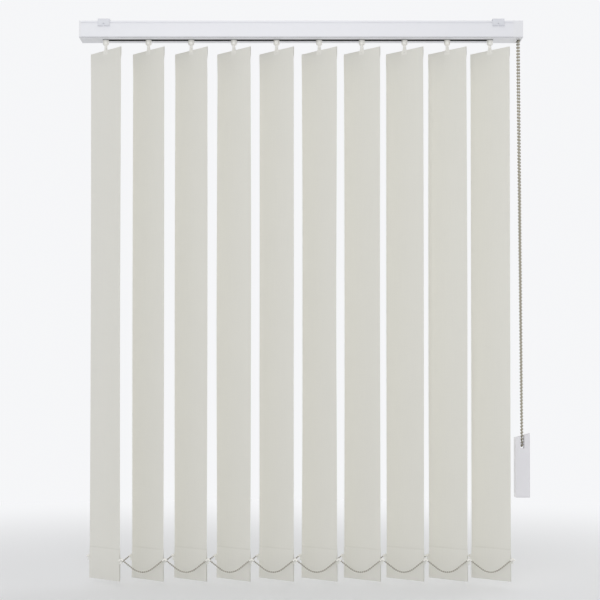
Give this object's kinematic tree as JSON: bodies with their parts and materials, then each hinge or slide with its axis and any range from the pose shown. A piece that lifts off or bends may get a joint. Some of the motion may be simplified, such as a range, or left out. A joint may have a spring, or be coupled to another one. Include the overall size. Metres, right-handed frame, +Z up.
{
  "type": "vertical blind",
  "caption": "Vertical blind: a slotted headrail with turning fabric vanes on hooks, a beaded control chain with its weight, and linked bottom weights.",
  "frame": {"origin": "midway between the two ceiling screws, on the top face of the brackets", "axes": "+X along the headrail to the control end, +Y away from the room, +Z up"},
  "size_m": [0.84, 0.0702, 1.0436],
  "materials": {
    "rail_paint": "satin white paint",
    "cap_plastic": "satin white moulding",
    "bracket_finish": "pale grey painted spring strip",
    "rod_metal": "drawn",
    "carrier_plastic": "dark grey moulding",
    "hook_plastic": "translucent white moulding",
    "vane_fabric": "stiffened off-white weave",
    "weight_metal": "white coated plate",
    "link_chain": "grey-brown links",
    "bead_chain": "beige-grey beads",
    "bob_plastic": "satin white moulding"
  },
  "bodies": {
    "rail": {"headrail": "rail_paint", "idle_end_cap": "cap_plastic", "control_housing": "cap_plastic", "ceiling_brackets": "bracket_finish", "control_chain": "bead_chain", "chain_weight": "bob_plastic", "carrier_01": "carrier_plastic"},
    "tilt_drive": {"tilt_rod": "rod_metal", "chain_wheel": "carrier_plastic"},
    "truck_02": {"carrier_02": "carrier_plastic"},
    "truck_03": {"carrier_03": "carrier_plastic"},
    "truck_04": {"carrier_04": "carrier_plastic"},
    "truck_05": {"carrier_05": "carrier_plastic"},
    "truck_06": {"carrier_06": "carrier_plastic"},
    "truck_07": {"carrier_07": "carrier_plastic"},
    "truck_08": {"carrier_08": "carrier_plastic"},
    "truck_09": {"carrier_09": "carrier_plastic"},
    "truck_10": {"carrier_10": "carrier_plastic"},
    "vane_set_01": {"hook_01": "hook_plastic", "hanger_01": "hook_plastic", "vane_01": "vane_fabric", "bottom_weight_01": "weight_metal"},
    "vane_set_02": {"hook_02": "hook_plastic", "hanger_02": "hook_plastic", "vane_02": "vane_fabric", "bottom_weight_02": "weight_metal"},
    "vane_set_03": {"hook_03": "hook_plastic", "hanger_03": "hook_plastic", "vane_03": "vane_fabric", "bottom_weight_03": "weight_metal"},
    "vane_set_04": {"hook_04": "hook_plastic", "hanger_04": "hook_plastic", "vane_04": "vane_fabric", "bottom_weight_04": "weight_metal"},
    "vane_set_05": {"hook_05": "hook_plastic", "hanger_05": "hook_plastic", "vane_05": "vane_fabric", "bottom_weight_05": "weight_metal"},
    "vane_set_06": {"hook_06": "hook_plastic", "hanger_06": "hook_plastic", "vane_06": "vane_fabric", "bottom_weight_06": "weight_metal"},
    "vane_set_07": {"hook_07": "hook_plastic", "hanger_07": "hook_plastic", "vane_07": "vane_fabric", "bottom_weight_07": "weight_metal"},
    "vane_set_08": {"hook_08": "hook_plastic", "hanger_08": "hook_plastic", "vane_08": "vane_fabric", "bottom_weight_08": "weight_metal"},
    "vane_set_09": {"hook_09": "hook_plastic", "hanger_09": "hook_plastic", "vane_09": "vane_fabric", "bottom_weight_09": "weight_metal"},
    "vane_set_10": {"hook_10": "hook_plastic", "hanger_10": "hook_plastic", "vane_10": "vane_fabric", "bottom_weight_10": "weight_metal"},
    "front_links": {"front_bottom_chain": "link_chain"},
    "rear_links": {"rear_bottom_chain": "link_chain"}
  },
  "joints": [
    {"name": "tilt_01", "type": "hinge", "parent": "rail", "child": "vane_set_01", "pos_m": [-0.366, 0, 0], "axis": [0, 0, 1], "range_deg": [-128.5, 35.5]},
    {"name": "tilt_02", "type": "hinge", "parent": "truck_02", "child": "vane_set_02", "pos_m": [-0.286, 0, 0], "axis": [0, 0, 1], "range_deg": [-128.5, 35.5]},
    {"name": "tilt_03", "type": "hinge", "parent": "truck_03", "child": "vane_set_03", "pos_m": [-0.206, 0, 0], "axis": [0, 0, 1], "range_deg": [-128.5, 35.5]},
    {"name": "tilt_04", "type": "hinge", "parent": "truck_04", "child": "vane_set_04", "pos_m": [-0.126, 0, 0], "axis": [0, 0, 1], "range_deg": [-128.5, 35.5]},
    {"name": "tilt_05", "type": "hinge", "parent": "truck_05", "child": "vane_set_05", "pos_m": [-0.046, 0, 0], "axis": [0, 0, 1], "range_deg": [-128.5, 35.5]},
    {"name": "tilt_06", "type": "hinge", "parent": "truck_06", "child": "vane_set_06", "pos_m": [0.034, 0, 0], "axis": [0, 0, 1], "range_deg": [-128.5, 35.5]},
    {"name": "tilt_07", "type": "hinge", "parent": "truck_07", "child": "vane_set_07", "pos_m": [0.114, 0, 0], "axis": [0, 0, 1], "range_deg": [-128.5, 35.5]},
    {"name": "tilt_08", "type": "hinge", "parent": "truck_08", "child": "vane_set_08", "pos_m": [0.194, 0, 0], "axis": [0, 0, 1], "range_deg": [-128.5, 35.5]},
    {"name": "tilt_09", "type": "hinge", "parent": "truck_09", "child": "vane_set_09", "pos_m": [0.274, 0, 0], "axis": [0, 0, 1], "range_deg": [-128.5, 35.5]},
    {"name": "tilt_10", "type": "hinge", "parent": "truck_10", "child": "vane_set_10", "pos_m": [0.354, 0, 0], "axis": [0, 0, 1], "range_deg": [-128.5, 35.5]},
    {"name": "drive_turn", "type": "hinge", "parent": "rail", "child": "tilt_drive", "pos_m": [0, 0.0065, -0.0191], "axis": [1, 0, 0], "range_deg": [-1285, 355]},
    {"name": "front_links_turn", "type": "hinge", "parent": "vane_set_01", "child": "front_links", "pos_m": [-0.33111, -0.03311, 0], "axis": [0, 0, 1], "range_deg": [-35.5, 128.5]},
    {"name": "rear_links_turn", "type": "hinge", "parent": "vane_set_01", "child": "rear_links", "pos_m": [-0.40089, 0.03311, 0], "axis": [0, 0, 1], "range_deg": [-35.5, 128.5]},
    {"name": "traverse_10", "type": "slide", "parent": "rail", "child": "truck_10", "axis": [-1, 0, 0], "range_m": [0, 0.522], "deforming": ["front_bottom_chain", "rear_bottom_chain"]},
    {"name": "traverse_09", "type": "slide", "parent": "rail", "child": "truck_09", "axis": [-1, 0, 0], "range_m": [0, 0.464]},
    {"name": "traverse_08", "type": "slide", "parent": "rail", "child": "truck_08", "axis": [-1, 0, 0], "range_m": [0, 0.406]},
    {"name": "traverse_07", "type": "slide", "parent": "rail", "child": "truck_07", "axis": [-1, 0, 0], "range_m": [0, 0.348]},
    {"name": "traverse_06", "type": "slide", "parent": "rail", "child": "truck_06", "axis": [-1, 0, 0], "range_m": [0, 0.29]},
    {"name": "traverse_05", "type": "slide", "parent": "rail", "child": "truck_05", "axis": [-1, 0, 0], "range_m": [0, 0.232]},
    {"name": "traverse_04", "type": "slide", "parent": "rail", "child": "truck_04", "axis": [-1, 0, 0], "range_m": [0, 0.174]},
    {"name": "traverse_03", "type": "slide", "parent": "rail", "child": "truck_03", "axis": [-1, 0, 0], "range_m": [0, 0.116]},
    {"name": "traverse_02", "type": "slide", "parent": "rail", "child": "truck_02", "axis": [-1, 0, 0], "range_m": [0, 0.058]}
  ],
  "couplings": [
    {"joint": "tilt_02", "follows": "tilt_01", "ratio": 1},
    {"joint": "tilt_03", "follows": "tilt_01", "ratio": 1},
    {"joint": "tilt_04", "follows": "tilt_01", "ratio": 1},
    {"joint": "tilt_05", "follows": "tilt_01", "ratio": 1},
    {"joint": "tilt_06", "follows": "tilt_01", "ratio": 1},
    {"joint": "tilt_07", "follows": "tilt_01", "ratio": 1},
    {"joint": "tilt_08", "follows": "tilt_01", "ratio": 1},
    {"joint": "tilt_09", "follows": "tilt_01", "ratio": 1},
    {"joint": "tilt_10", "follows": "tilt_01", "ratio": 1},
    {"joint": "drive_turn", "follows": "tilt_01", "ratio": 10},
    {"joint": "front_links_turn", "follows": "tilt_01", "ratio": -1},
    {"joint": "rear_links_turn", "follows": "tilt_01", "ratio": -1},
    {"joint": "traverse_09", "follows": "traverse_10", "ratio": 0.88889},
    {"joint": "traverse_08", "follows": "traverse_10", "ratio": 0.77778},
    {"joint": "traverse_07", "follows": "traverse_10", "ratio": 0.66667},
    {"joint": "traverse_06", "follows": "traverse_10", "ratio": 0.55556},
    {"joint": "traverse_05", "follows": "traverse_10", "ratio": 0.44444},
    {"joint": "traverse_04", "follows": "traverse_10", "ratio": 0.33333},
    {"joint": "traverse_03", "follows": "traverse_10", "ratio": 0.22222},
    {"joint": "traverse_02", "follows": "traverse_10", "ratio": 0.11111}
  ]
}
